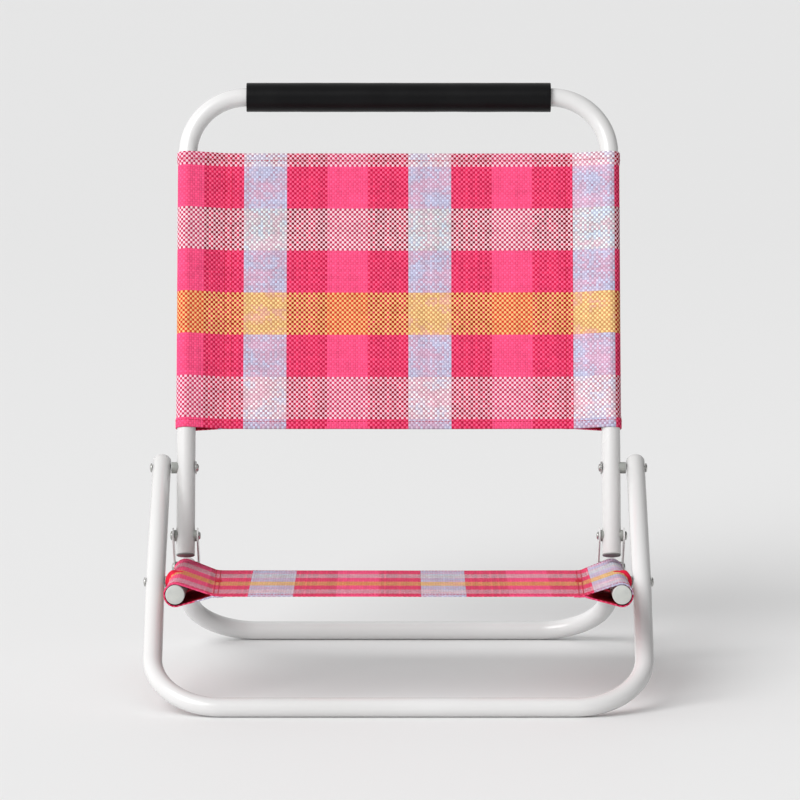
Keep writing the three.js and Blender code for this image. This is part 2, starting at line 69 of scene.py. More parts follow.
RAIL_AHEAD = 148.1 * MM  # front of the rail's end plug, ahead of leg_pivot
RAIL_HALF_FRONT = 219.4 * MM
RAIL_HALF_REAR = 216.5 * MM
REAR_LEG_SLOPE = math.radians(38)
REAR_BEND_RADIUS = 50 * MM
REAR_CORNER_RADIUS = 70 * MM
LEG_HALF_FOOT = 243.4 * MM
LEG_HALF_TOP = 241.1 * MM
FRONT_CORNER_RADIUS = 69 * MM
LEG_KINK_RADIUS = 200 * MM
LEG_PAST_PIVOT = 8.7 * MM
UPRIGHT_HALF = 216.2 * MM
UPRIGHT_BELOW_PIVOT = 91.6 * MM
BACK_CORNER_RADIUS = 60 * MM
PLUG_FLANGE = 2.5 * MM
UPRIGHT_PLUG_FLANGE = 1.6 * MM
CAP_DOME = 6.1 * MM

SEAT_DEPTH = 288 * MM
SEAT_BEHIND_PLUG = 3.3 * MM
SEAT_SEAM_FRONT = 37 * MM  # rail centre to the sleeve's seam
SEAT_SEAM_REAR = 31 * MM
SEAT_TACK = 162 * MM  # the tack's distance behind the front hem
BACK_SLING_BOTTOM = 40.8 * MM  # above back_pivot, along the back
BACK_SLING_TOP = 330.2 * MM
BACK_SEAM = 37.5 * MM

PLATE_WIDTH = 16 * MM
HOLE_RADIUS = 2.95 * MM
GAP = 0.3 * MM

# ---------- side view: pivots and lines

joints = {joint["name"]: joint for joint in frame["joints"]}
mounts = {mount["name"]: mount for mount in frame["record"]["mounts"]}


def middle(node):
    low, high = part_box(node)
    return (low + high) / 2


def side_point(point):
    return Vector((point[1], point[2]))


def along(start, direction, distance):
    return start + direction * distance


def crossing(point_a, direction_a, point_b, direction_b):
    apart = point_b - point_a
    distance = apart.cross(direction_b) / direction_a.cross(direction_b)
    return along(point_a, direction_a, distance)


def in_space(half, point):
    return Vector((half, point.x, point.y))


link_foot = side_point(joints["fold"]["pos_m"])
link_top = side_point(joints["back_fold"]["pos_m"])
leg_pivot = side_point(joints["leg_fold"]["pos_m"])
back_pivot = side_point(middle("back_pivot_washer_left"))
top_bar = side_point(middle("hand_grip"))

bar_height = TUBE_RADIUS * math.cos(math.pi / 16)  # the CAD bars rest on a flat of 16 sides
front_bar = Vector((mounts["front_bar_on_floor"]["pos_m"][1], bar_height))
rear_bar = Vector((mounts["rear_bar_on_floor"]["pos_m"][1], bar_height))

rail_back = (link_foot - leg_pivot).normalized()
rail_up = Vector((-rail_back.y, rail_back.x))
leg_up = (back_pivot - leg_pivot).normalized()
back_up = (back_pivot - link_top).normalized()
back_front = Vector((-back_up.y, back_up.x))  # out of the back's front face
rear_leg_up = Vector((-math.cos(REAR_LEG_SLOPE), math.sin(REAR_LEG_SLOPE)))
rear_bend = crossing(leg_pivot, rail_back, rear_bar, rear_leg_up)

rail_front_distance = PLUG_FLANGE - RAIL_AHEAD
rear_bend_distance = (rear_bend - leg_pivot).length
seat_front_distance = SEAT_BEHIND_PLUG - RAIL_AHEAD


def rail_half(distance):
    """Half the distance between the rails, at a distance behind leg_pivot."""
    share = (distance - rail_front_distance) / (rear_bend_distance - rail_front_distance)
    return RAIL_HALF_FRONT + (RAIL_HALF_REAR - RAIL_HALF_FRONT) * share


# ---------- mesh helpers

SHARP_ANGLE = math.radians(38)
SIDES = {"left": 1, "right": -1}


def in_scene(name, data):
    obj = bpy.data.objects.new(name, data)
    bpy.context.scene.collection.objects.link(obj)
    return obj


def new_object(name, vertices, faces, material, body, slot):
    """A mesh object with outward faces, smooth but for its sharp edges, riding on a body."""
    mesh = bpy.data.meshes.new(name)
    mesh.from_pydata([tuple(v) for v in vertices], [], faces)
    bm = bmesh.new()
    bm.from_mesh(mesh)
    bmesh.ops.recalc_face_normals(bm, faces=bm.faces)
    for face in bm.faces:
        face.smooth = True
    for edge in bm.edges:
        edge.smooth = len(edge.link_faces) == 2 and edge.calc_face_angle() < SHARP_ANGLE
    bm.to_mesh(mesh)
    bm.free()
    mesh.materials.append(material)
    obj = in_scene(name, mesh)
    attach(obj, body)
    return obj


def circle(count):
    """Angles evenly round a full circle."""
    return [2 * math.pi * i / count for i in range(count)]


def quarter_turn(steps):
    """The sine and cosine of angles from nothing to a quarter turn, both ends included."""
    angles = [math.pi / 2 * i / steps for i in range(steps + 1)]
    return [(math.sin(angle), math.cos(angle)) for angle in angles]


def domed(start, end, radius, steps=10):
    """Profile points of a low dome from its rim at start to its crown at end."""
    return [(start + (end - start) * sin, radius * cos) for sin, cos in quarter_turn(steps)]


def filleted(profile, radius, steps=4):
    """A closed or open 2-D outline with its inner corners rounded off."""
    points = [Vector(p) for p in profile]
    out = [points[0]]
    for before, corner, after in zip(points, points[1:], points[2:]):
        back, ahead = before - corner, after - corner
        reach = min(radius, back.length * 0.45, ahead.length * 0.45)
        start, end = corner + back.normalized() * reach, corner + ahead.normalized() * reach
        for i in range(steps + 1):
            t = i / steps
            out.append(start * (1 - t) ** 2 + corner * (2 * t * (1 - t)) + end * t**2)
    return out + [points[-1]]


def band(low, high, closed=True):
    """Quads between two rows of vertices, given by their numbers."""
    pairs = list(zip(low, high))
    ahead = pairs[1:] + (pairs[:1] if closed else [])
    return [(a, b, d, c) for (a, c), (b, d) in zip(pairs, ahead)]


LATHE_SIDES = 40


def lathe(profile, place, sides=LATHE_SIDES, bend=None):
    """Vertices and faces of a profile of (distance along the axis, radius), turned full circle.

    place maps (distance, across, up) to a point in space. bend moves a vertex along the axis."""
    vertices, faces, rings = [], [], []
    ring_closed = (Vector(profile[0]) - Vector(profile[-1])).length < 1e-7
    points = profile[:-1] if ring_closed else profile
    for distance, radius in points:
        if radius < 1e-6:
            rings.append([len(vertices)])
            vertices.append(place(distance, 0.0, 0.0))
            continue
        rings.append(list(range(len(vertices), len(vertices) + sides)))
        for angle in circle(sides):
            across, up = radius * math.cos(angle), radius * math.sin(angle)
            vertices.append(place(bend(distance, across, up) if bend else distance, across, up))
    for low, high in list(zip(rings, rings[1:])) + ([(rings[-1], rings[0])] if ring_closed else []):
        if len(low) == 1 < len(high):
            faces += [(low[0], after, point) for point, after in zip(high, high[1:] + high[:1])]
        elif len(high) == 1 < len(low):
            faces += [(point, after, high[0]) for point, after in zip(low, low[1:] + low[:1])]
        elif len(low) > 1:
            faces += band(low, high)
    return vertices, faces


def on_pivot(sign, pivot):
    """Places a turned piece on a pivot, its distance measured outward from the centre plane."""
    return lambda distance, across, up: Vector((sign * distance, pivot.x + across, pivot.y + up))


def on_axis(origin, axis):
    """Places a turned piece from an origin along an axis."""
    axis = axis.normalized()
    across = axis.orthogonal().normalized()
    up = axis.cross(across)
    return lambda distance, a, u: origin + axis * distance + across * a + up * u


# ---------- materials


def linear(red, green, blue):
    """A colour given in sRGB 0 to 255, as the linear RGBA that shaders take."""
    parts = []
    for value in (red, green, blue):
        share = value / 255
        parts.append(share / 12.92 if share <= 0.04045 else ((share + 0.055) / 1.055) ** 2.4)
    return (*parts, 1.0)


class Nodes:
    """A node tree, filled by calls that return output sockets."""

    def __init__(self, tree):
        self.tree = tree

    def plug(self, socket, value):
        if isinstance(value, bpy.types.NodeSocket):
            self.tree.links.new(value, socket)
        else:
            socket.default_value = value

    def node(self, kind, inputs=None, **settings):
        made = self.tree.nodes.new(kind)
        for name, value in settings.items():
            setattr(made, name, value)
        for name, value in (inputs or {}).items():
            self.plug(made.inputs[name], value)
        return made

    def math(self, operation, *values):
        made = self.node("ShaderNodeMath", operation=operation)
        for socket, value in zip(made.inputs, values):
            self.plug(socket, value)
        return made.outputs[0]

    def add(self, first, *others):
        for other in others:
            first = self.math("ADD", first, other)
        return first

    def times(self, first, *others):
        for other in others:
            first = self.math("MULTIPLY", first, other)
        return first

    def mix(self, factor, low, high):
        made = self.node("ShaderNodeMix", {0: factor, 6: low, 7: high}, data_type="RGBA")
        return made.outputs[2]

    def spread(self, value, low, high, new_low, new_high):
        made = self.node("ShaderNodeMapRange")
        for socket, given in zip(made.inputs, (value, low, high, new_low, new_high)):
            self.plug(socket, given)
        return made.outputs[0]

    def tint(self, value, low, high, first, second):
        """A colour that goes from first to second while a value goes from low to high."""
        return self.mix(self.spread(value, low, high, 0, 1), first, second)

    def scaled(self, vector, scale):
        return self.node("ShaderNodeMapping", {"Vector": vector, "Scale": scale}).outputs[0]

    def object_place(self, scale=(1, 1, 1)):
        return self.scaled(self.node("ShaderNodeTexCoord").outputs["Object"], scale)

    def noise(self, place, scale, detail=2.0, roughness=0.5):
        inputs = {"Vector": place, "Scale": scale, "Detail": detail, "Roughness": roughness}
        return self.node("ShaderNodeTexNoise", inputs).outputs["Fac"]

    def chance(self, dimensions, name, value):
        """A random number from 0 to 1 for each value."""
        made = self.node("ShaderNodeTexWhiteNoise", {name: value}, noise_dimensions=dimensions)
        return made.outputs["Value"]

    def bump(self, height, distance, strength=1.0, under=None):
        made = self.node("ShaderNodeBump", {"Height": height, "Strength": strength})
        made.inputs["Distance"].default_value = distance
        if under is not None:
            self.plug(made.inputs["Normal"], under)
        return made.outputs[0]


class Shader(Nodes):
    """The nodes of a new material."""

    def __init__(self, name):
        self.material = bpy.data.materials.new(name)
        self.material.use_nodes = True
        super().__init__(self.material.node_tree)

    def finished(self, **values):
        """The material, with these values plugged into its surface's sockets."""
        surface = self.tree.nodes["Principled BSDF"]
        for name, value in values.items():
            self.plug(surface.inputs[name.replace("_", " ").title().replace("Ior", "IOR")], value)
        return self.material


def white_paint():
    """Gloss powder coat: faint orange peel, and slightly duller where hands and dust settle."""
    shader = Shader("white_paint")
    place = shader.object_place()
    peel = shader.noise(place, 650, detail=1.5)
    handled = shader.noise(place, 9, detail=3)
    tone = shader.noise(place, 4, detail=2)
    return shader.finished(
        base_color=shader.tint(tone, 0.35, 0.65, (0.63, 0.625, 0.62, 1), (0.67, 0.665, 0.665, 1)),
        roughness=shader.spread(handled, 0.3, 0.7, 0.21, 0.29),
        normal=shader.bump(peel, 0.01 * MM),
        specular_ior_level=0.7,
    )


def moulded_plastic(name, low, high, roughness):
    shader = Shader(name)
    place = shader.object_place()
    grain = shader.noise(place, 2600, detail=2)
    tone = shader.noise(place, 120, detail=3)
    return shader.finished(
        base_color=shader.tint(tone, 0.3, 0.7, low, high),
        roughness=shader.spread(tone, 0.3, 0.7, roughness - 0.06, roughness + 0.08),
        normal=shader.bump(grain, 0.04 * MM),
    )


def plated_steel():
    """Zinc-plated steel, turned: fine rings round each piece and slightly cloudy plating."""
    shader = Shader("plated_steel")
    cloud = shader.noise(shader.object_place(), 300, detail=3)
    lines = shader.noise(shader.object_place((9000, 300, 300)), 1, detail=1)
    return shader.finished(
        base_color=shader.mix(cloud, (0.34, 0.34, 0.33, 1), (0.58, 0.58, 0.56, 1)),
        roughness=shader.spread(cloud, 0.3, 0.7, 0.2, 0.34),
        normal=shader.bump(lines, 0.012 * MM),
        metallic=1.0,
    )


def foam():
    """Closed-cell foam with a matt, finely pitted skin."""
    shader = Shader("foam_grip")
    place = shader.object_place()
    cells = shader.node("ShaderNodeTexVoronoi", {"Vector": place, "Scale": 1300.0})
    pits = shader.noise(place, 700, detail=4, roughness=0.65)
    wear = shader.noise(place, 26, detail=3)
    pitted = shader.bump(pits, 0.08 * MM)
    return shader.finished(
        base_color=shader.tint(wear, 0.35, 0.7, (0.0025, 0.0025, 0.003, 1), (0.0045, 0.0045, 0.005, 1)),
        roughness=shader.spread(pits, 0.3, 0.7, 0.3, 0.42),
        normal=shader.bump(cells.outputs["Distance"], 0.05 * MM, under=pitted),
        specular_ior_level=0.13,
    )


def waves(shader, scale, distortion, **settings):
    inputs = {"Vector": shader.object_place(), "Scale": scale, "Distortion": distortion}
    return shader.node("ShaderNodeTexWave", inputs, **settings).outputs["Fac"]


def sewing_thread():
    """Twisted polyester thread."""
    shader = Shader("red_thread")
    twist = waves(shader, 900.0, 1.5, bands_direction="DIAGONAL")
    return shader.finished(
        base_color=shader.mix(twist, linear(158, 6, 34), linear(206, 18, 52)),
        normal=shader.bump(twist, 0.06 * MM),
        roughness=0.7,
    )


def red_weave(name, low, high):
    """Plain red woven cloth, for the notch's binding, and in a darker red for the painted shade inside
    the sleeves.
    """
    shader = Shader(name)
    rib = waves(shader, 420.0, 2.0)
    tone = shader.noise(shader.object_place(), 160, detail=3)
    return shader.finished(
        base_color=shader.tint(tone, 0.3, 0.7, linear(*low), linear(*high)),
        normal=shader.bump(rib, 0.1 * MM),
        roughness=0.8,
        specular_ior_level=0.25,
    )


# The plaid: warp blocks run up the cloth and weft bands run across it. Each entry gives the
# sRGB colour of a crossing with the warp on top, then with the weft on top. A warp is given
# darker in the pale weft bands than in the pink ones: painted shade beside the raised pale threads.
WARP_PITCH = 2.441 * MM
SEAT_WARP_PITCH = 2.47 * MM
WEFT_PITCH = 2.46 * MM
WARP_BLOCKS = (("pink", 17), ("crimson", 17), ("lavender", 18), ("crimson", 17))
WEFT_BANDS = (("rose", 18), ("pink", 18), ("yellow", 18), ("pink", 18), ("mint", 18), ("pink", 18))
CROSSINGS = {
    ("pink", "pink"): ((244, 74, 122), (252, 90, 138)),
    ("crimson", "pink"): ((196, 20, 68), (250, 88, 130)),
    ("lavender", "pink"): ((178, 148, 174), (212, 200, 222)),
    ("pink", "mint"): ((186, 52, 88), (252, 204, 214)),
    ("crimson", "mint"): ((122, 6, 34), (246, 198, 208)),
    ("lavender", "mint"): ((168, 152, 162), (228, 232, 232)),
    ("pink", "rose"): ((194, 48, 88), (253, 194, 210)),
    ("crimson", "rose"): ((148, 8, 38), (248, 188, 204)),
    ("lavender", "rose"): ((184, 136, 150), (248, 234, 238)),
    ("pink", "yellow"): ((206, 62, 44), (250, 186, 122)),
    ("crimson", "yellow"): ((166, 18, 14), (250, 192, 128)),
    ("lavender", "yellow"): ((204, 146, 96), (248, 210, 144)),
}


MELANGE_SCALE = (26.0, 48.0, 1.0)
FIBRE_SCALES = (5200.0, 500.0, 1.0), (500.0, 5200.0, 1.0)  # along the warp and the weft
SKY, BLUSH, UNEVEN_RED = linear(170, 206, 240), linear(240, 160, 190), linear(226, 44, 88)


def banded(shader, index, bands):
    """A mask socket for each colour name, from a thread's number. The bands repeat."""
    place = shader.math("FLOORED_MODULO", index, sum(count for _, count in bands))
    masks, start = {}, 0
    for name, count in bands:
        above = shader.math("GREATER_THAN", place, start - 0.5)
        below = shader.math("LESS_THAN", place, start + count - 0.5)
        here = shader.times(above, below)
        masks[name] = shader.add(masks[name], here) if name in masks else here
        start += count
    return masks


def woven_cloth(name, first_warp, warp_pitch, first_weft):
    """The plaid cloth. first_warp is where a pink warp block starts, across from the centre;
    first_weft is where the rose weft band starts, up from the hem."""
    shader = Shader(name)
    uv = shader.node("ShaderNodeUVMap", uv_map="cloth").outputs[0]
    split = shader.node("ShaderNodeSeparateXYZ", {0: uv})
    warp = shader.math("DIVIDE", shader.math("SUBTRACT", split.outputs[0], first_warp), warp_pitch)
    weft = shader.math("DIVIDE", shader.math("SUBTRACT", split.outputs[1], first_weft), WEFT_PITCH)
    warp_index, weft_index = shader.math("FLOOR", warp), shader.math("FLOOR", weft)
    warp_masks = banded(shader, warp_index, WARP_BLOCKS)
    weft_masks = banded(shader, weft_index, WEFT_BANDS)
    weft_on_top = shader.math("FLOORED_MODULO", shader.add(warp_index, weft_index), 2.0)

    # threads differ a little from one to the next, and along their length
    slow = shader.noise(uv, 34, detail=3, roughness=0.6)
    warp_thread = shader.chance("1D", "W", warp_index)
    weft_thread = shader.chance("1D", "W", weft_index)
    crossing_at = shader.node("ShaderNodeCombineXYZ", {"X": warp_index, "Y": weft_index}).outputs[0]
    one_crossing = shader.chance("2D", "Vector", crossing_at)

    colour = None
    for (block, weft_band), (warp_colour, weft_colour) in CROSSINGS.items():
        here = shader.mix(weft_on_top, linear(*warp_colour), linear(*weft_colour))
        mask = shader.times(warp_masks[block], weft_masks[weft_band])
        colour = here if colour is None else shader.mix(mask, colour, here)

    # the lavender warp is a melange: sky blue and pink drift across it in soft bands
    drift = shader.noise(shader.scaled(uv, MELANGE_SCALE), 1.0, detail=1)
    drift = shader.add(drift, shader.spread(one_crossing, 0, 1, -0.16, 0.16))
    not_yellow = shader.math("SUBTRACT", 1.0, weft_masks["yellow"])
    lavender = warp_masks["lavender"]
    sky = shader.times(shader.spread(drift, 0.5, 0.68, 0, 0.34), lavender, not_yellow)
    blush = shader.times(shader.spread(drift, 0.5, 0.34, 0, 0.32), lavender)
    colour = shader.mix(blush, shader.mix(sky, colour, SKY), BLUSH)

    # uneven dye: some crossings take up the neighbouring red, and threads vary in depth
    on_warp = shader.math("SUBTRACT", 1.0, weft_on_top)
    dye = shader.spread(shader.add(warp_thread, one_crossing), 0.6, 1.9, 0, 0.7)
    colour = shader.mix(shader.times(dye, on_warp, warp_masks["crimson"]), colour, UNEVEN_RED)
    depth = shader.add(
        shader.spread(warp_thread, 0, 1, -0.05, 0.05), shader.spread(weft_thread, 0, 1, -0.05, 0.05),
        shader.spread(slow, 0.3, 0.7, -0.07, 0.07), shader.spread(one_crossing, 0, 1, -0.07, 0.07),
    )

    # each crossing is a small pillow, ridged along the thread that is on top; the colour darkens
    # towards the gaps between crossings as painted shade
    rounds = [
        shader.math("SINE", shader.times(shader.math("FRACT", thread), math.pi))
        for thread in (warp, weft)
    ]
    pillow = shader.math("POWER", shader.times(*rounds), 0.55)
    fibres = [shader.noise(shader.scaled(uv, scale), 1.0) for scale in FIBRE_SCALES]
    top_fibres = {0: weft_on_top, 2: fibres[0], 3: fibres[1]}
    fibre = shader.node("ShaderNodeMix", top_fibres, data_type="FLOAT").outputs[0]

    gap_shade = shader.spread(pillow, 0.0, 0.6, 0.72, 1.0)
    # painted shade in the gaps, together with the threads' dye depth and fibre tone
    gap_shade_and_dye = shader.times(gap_shade, shader.add(0.97, depth), shader.spread(fibre, 0.3, 0.7, 0.93, 1.05))
    shaded_and_dyed = shader.node("ShaderNodeVectorMath", {0: colour, "Scale": gap_shade_and_dye}, operation="SCALE")
    height = shader.add(pillow, shader.times(fibre, 0.18))
    return shader.finished(
        base_color=shaded_and_dyed.outputs[0],
        roughness=shader.spread(fibre, 0.3, 0.7, 0.78, 0.92),
        normal=shader.bump(height, 0.32 * MM, strength=0.8),
        specular_ior_level=0.12,
    )


PAINT = white_paint()
GREY = moulded_plastic("grey_plastic", (0.44, 0.45, 0.43, 1), (0.50, 0.51, 0.48, 1), 0.45)
SPACER_GREY = moulded_plastic("spacer_plastic", (0.24, 0.25, 0.235, 1), (0.30, 0.31, 0.29, 1), 0.4)
DARK_GREY = moulded_plastic("dark_grey_plastic", (0.19, 0.195, 0.19, 1), (0.24, 0.245, 0.24, 1), 0.5)
STEEL = plated_steel()
FOAM = foam()
THREAD = sewing_thread()
TAPE = red_weave("red_tape", (196, 10, 44), (236, 30, 70))
# the same cloth in a darker red: painted shade for a skin inside the sleeves
SLEEVE_SHADE_SKIN = red_weave("sleeve_painted_shade", (150, 6, 30), (190, 14, 44))
BACK_CLOTH = woven_cloth("back_cloth", -73.0 * MM, WARP_PITCH, 9.9 * MM)
SEAT_CLOTH = woven_cloth("seat_cloth", -61.7 * MM, SEAT_WARP_PITCH, 24.8 * MM)

# ---------- camera, floor and light


CAMERA_LENS, CAMERA_SENSOR = 340.6, 36
CAMERA_PLACE, CAMERA_TARGET = (0.0014, -7.560, 1.314), (0.0014, -0.029, 0.287)
FLOOR_HALF = 60
FLOOR_DROP = 0.02 * MM  # below the round bars
KEY_STRENGTH = 2.3
KEY_ANGLE = math.radians(40)
KEY_DIRECTION = (0.35, 0.43, -0.38)
WORLD_GRADIENTS = (1.3, 0.8, 1.0), (0.12, 0.95, 1.0)  # at the low and high ends of X, Y and Z
WORLD_END = 0.9  # the gradients run between minus and plus this part of a unit direction


def look_at(obj, target):
    obj.rotation_mode = "QUATERNION"
    obj.rotation_quaternion = (Vector(target) - obj.location).to_track_quat("-Z", "Y")


def make_camera():
    data = bpy.data.cameras.new("camera")
    data.sensor_width, data.lens, data.clip_end = CAMERA_SENSOR, CAMERA_LENS, 200
    camera = in_scene("camera", data)
    camera.location = CAMERA_PLACE
    look_at(camera, CAMERA_TARGET)
    bpy.context.scene.camera = camera


def make_floor():
    shader = Shader("studio_floor")
    behind = shader.node("ShaderNodeSeparateXYZ", {0: shader.object_place()}).outputs[1]
    # painted light falloff: the floor is lighter towards the front and darker towards the back
    colour = shader.tint(behind, -1.5, 4.0, (0.83, 0.83, 0.83, 1), (0.775, 0.775, 0.775, 1))
    mesh = bpy.data.meshes.new("floor")
    height = bar_height - TUBE_RADIUS - FLOOR_DROP
    edge = FLOOR_HALF
    corners = [(x, y, height) for x, y in ((-edge, -edge), (edge, -edge), (edge, edge), (-edge, edge))]
    mesh.from_pydata(corners, [], [(0, 1, 2, 3)])
    mesh.materials.append(shader.finished(base_color=colour, roughness=0.65))
    in_scene("floor", mesh)


def make_key_light():
    """A large soft light, low in front and to the left. It is far off, so it lights all evenly."""
    data = bpy.data.lights.new("key", "SUN")
    data.energy, data.angle = KEY_STRENGTH, KEY_ANGLE
    look_at(in_scene("key", data), KEY_DIRECTION)


def make_world():
    """Soft light from all round, stronger from the left and the front than from the right."""
    world = bpy.data.worlds.new("studio")
    bpy.context.scene.world = world
    world.use_nodes = True
    nodes = Nodes(world.node_tree)
    place = nodes.node("ShaderNodeTexCoord").outputs["Generated"]
    split = nodes.node("ShaderNodeSeparateXYZ", {0: place})
    ramps = [
        nodes.spread(output, -WORLD_END, WORLD_END, low, high)
        for output, low, high in zip(split.outputs, *WORLD_GRADIENTS)
    ]
    background = world.node_tree.nodes["Background"]
    nodes.plug(background.inputs["Strength"], nodes.times(*ramps))
    nodes.plug(background.inputs["Color"], (1, 1, 1, 1))


make_camera()
make_floor()
make_world()
make_key_light()
bpy.context.scene.view_settings.view_transform = "Standard"

# ---------- tubes


def bent_stations(corners, radii):
    """Points and directions along straight runs and round bends."""
    stations = [(corners[0], (corners[1] - corners[0]).normalized())]
    for before, corner, after, radius in zip(corners, corners[1:], corners[2:], radii):
        arriving, leaving = (corner - before).normalized(), (after - corner).normalized()
        turn = arriving.angle(leaving)
        axis = arriving.cross(leaving).normalized()
        start = corner - arriving * (radius * math.tan(turn / 2))
        inward = axis.cross(arriving)
        centre = start + inward * radius
        steps = math.ceil(turn / BEND_STEP)
        for i in range(steps + 1):
            angle = turn * i / steps
            spoke = -inward * math.cos(angle) + arriving * math.sin(angle)
            direction = arriving * math.cos(angle) + inward * math.sin(angle)
            stations.append((centre + spoke * radius, direction))
    stations.append((corners[-1], (corners[-1] - corners[-2]).normalized()))
    return stations


def tube_mesh(stations):
    """A hollow tube along the stations, with a slightly rounded lip at each open end."""
    (first_point, first_way), (last_point, last_way) = stations[0], stations[-1]
    rings = [(first_point, first_way, TUBE_RADIUS - TUBE_LIP / 2)]
    rings += [(first_point + first_way * TUBE_LIP, first_way, TUBE_RADIUS)]
    rings += [(point, way, TUBE_RADIUS) for point, way in stations[1:-1]]
    rings += [(last_point - last_way * TUBE_LIP, last_way, TUBE_RADIUS)]
    rings += [(last_point, last_way, TUBE_RADIUS - TUBE_LIP / 2)]
    rings += [(point, way, TUBE_RADIUS - TUBE_WALL) for point, way in reversed(stations)]
    vertices, faces = [], []
    normal = first_way.orthogonal().normalized()
    for point, way, radius in rings:
        normal = (normal - way * normal.dot(way)).normalized()
        binormal = way.cross(normal)
        for angle in circle(TUBE_SIDES):
            vertices.append(point + (normal * math.cos(angle) + binormal * math.sin(angle)) * radius)
    rows = [range(r * TUBE_SIDES, (r + 1) * TUBE_SIDES) for r in range(len(rings))]
    for low, high in zip(rows, rows[1:] + rows[:1]):
        faces += band(low, high)
    return vertices, faces


def mirrored_tube(name, half_corners, half_radii, body, node):
    mirrored = [Vector((-corner.x, corner.y, corner.z)) for corner in reversed(half_corners)]
    vertices, faces = tube_mesh(bent_stations(half_corners + mirrored, half_radii + half_radii[::-1]))
    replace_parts(new_object(name, vertices, faces, PAINT, body, "white_paint"), node)


rail_end = along(leg_pivot, rail_back, rail_front_distance)
mirrored_tube(
    "seat_tube",
    [
        in_space(RAIL_HALF_FRONT, rail_end),
        in_space(RAIL_HALF_REAR, rear_bend),
        in_space(RAIL_HALF_REAR, rear_bar),
    ],
    [REAR_BEND_RADIUS, REAR_CORNER_RADIUS],
    "seat_frame",
    "seat_frame_tube",
)

leg_run = (back_pivot - leg_pivot).length
leg_toe_in = (LEG_HALF_TOP - LEG_HALF_FOOT) / leg_run
leg_end_distance = leg_run + LEG_PAST_PIVOT
leg_end = in_space(
    LEG_HALF_FOOT + leg_toe_in * leg_end_distance, along(leg_pivot, leg_up, leg_end_distance)
)
mirrored_tube(
    "leg_tube",
    [leg_end, in_space(LEG_HALF_FOOT, leg_pivot), in_space(LEG_HALF_FOOT, front_bar)],
    [LEG_KINK_RADIUS, FRONT_CORNER_RADIUS],
    "front_leg",
    "front_leg_tube",
)

upright_end = along(back_pivot, back_up, UPRIGHT_PLUG_FLANGE - UPRIGHT_BELOW_PIVOT)
mirrored_tube(
    "back_tube",
    [in_space(UPRIGHT_HALF, upright_end), in_space(UPRIGHT_HALF, top_bar)],
    [BACK_CORNER_RADIUS],
    "back_frame",
    "back_frame_tube",
)

# ---------- foam grip


GRIP_ROUND = 0.9 * MM  # at the edge of each end
GRIP_BORE = TUBE_RADIUS + 0.05 * MM
GRIP_BORE_DEPTH = 4 * MM
GRIP_LENGTHS = 90
GRIP_SWELL = 0.18 * MM  # how far the foam's skin wanders in and out


def make_grip():
    low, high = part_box("hand_grip")
    half, radius = (high.x - low.x) / 2, (high.z - low.z) / 2
    # in from the end and in from the skin, from the skin to the end's face
    edge = [(GRIP_ROUND * (1 - sin), GRIP_ROUND * (1 - cos)) for sin, cos in quarter_turn(6)]
    profile = [(-half + GRIP_BORE_DEPTH, GRIP_BORE), (-half, GRIP_BORE)]
    profile += [(-half + inward, radius - under) for inward, under in reversed(edge)]
    for i in range(1, GRIP_LENGTHS):
        profile.append((-half + GRIP_ROUND + (2 * half - 2 * GRIP_ROUND) * i / GRIP_LENGTHS, radius))
    profile += [(half - inward, radius - under) for inward, under in edge]
    profile += [(half, GRIP_BORE), (half - GRIP_BORE_DEPTH, GRIP_BORE), profile[0]]
    vertices, faces = lathe(profile, on_pivot(1, top_bar), sides=64)
    soft = []
    for vertex in vertices:
        out = vertex - in_space(vertex.x, top_bar)
        if out.length > GRIP_BORE + 1 * MM:
            swell = GRIP_SWELL * noise.noise(Vector((vertex.x * 30, out.y * 60, out.z * 60)))
            vertex = vertex + out.normalized() * swell
        soft.append(vertex)
    grip = new_object("foam_grip_sleeve", soft, faces, FOAM, "back_frame", "foam_grip")
    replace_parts(grip, "hand_grip")


make_grip()

# ---------- slings

CLOTH_THICKNESS = 0.7 * MM
SLEEVE_RADIUS = TUBE_RADIUS + 0.15 * MM + CLOTH_THICKNESS / 2
SEAT_SLEEVE_EASE = 0.45 * MM  # the seat's sleeves are looser than the back's
SLEEVE_SLACK = 0.8 * MM  # the sleeve hangs off the tube behind, or below
LAYER = CLOTH_THICKNESS + 0.05 * MM  # from one layer of cloth to the next
FLAP = 10 * MM  # cloth beyond the sleeve's seam, behind the panel
HEM = 10 * MM
HEM_STITCHES = 7.5 * MM  # in from the edge
FLAP_STEPS, SIDE_STEPS, ARC_STEPS, PANEL_STEPS = 4, 8, 36, 36
SLEEVE_OUTER = PANEL_STEPS + SIDE_STEPS + ARC_STEPS // 2  # a section's point furthest out
FLAP_START = PANEL_STEPS + 2 * SIDE_STEPS + ARC_STEPS
ROW_STEP = 4.5 * MM

NOTCH_ARC = math.radians(-45), math.radians(104)  # up and over from the sleeve's outer side
NOTCH_DEPTH = 8 * MM
NOTCH_REACH = 24 * MM  # cloth on each side that makes way for the notch
NOTCH_ROWS = (1.2, 2.4, 3.6, 5, 6.75, 9, 12, 16, 20)
NOTCH_LIP = 7 * MM
NOTCH_FLARE = 4.6 * MM
LIP_FALL_START, LIP_FALL_LENGTH, LIP_FALL = 0.34, 0.4, 0.88  # of half the arc, and of the flare
TAPE_FRONT, TAPE_REAR = 4.4 * MM, 2.0 * MM  # width of the binding on the notch's two edges

PUCKER_HEIGHT, PUCKER_WIDTH = 0.3 * MM, 8 * MM  # the puckers along a seam
PUCKER_RATE = 210  # in noise cells a metre of seam
HEM_BLEND = 2 * MM  # over which the cloth comes down from the turned hem
# a darker red skin just inside both sleeves paints their shade and blocks light from entering them
SHADE_SKIN_GAP = 0.07 * MM
SHADE_SKIN_END = 0.6 * MM  # short of the cloth's edge
SHADE_SKIN_PAST_NOTCH = 1.5 * MM

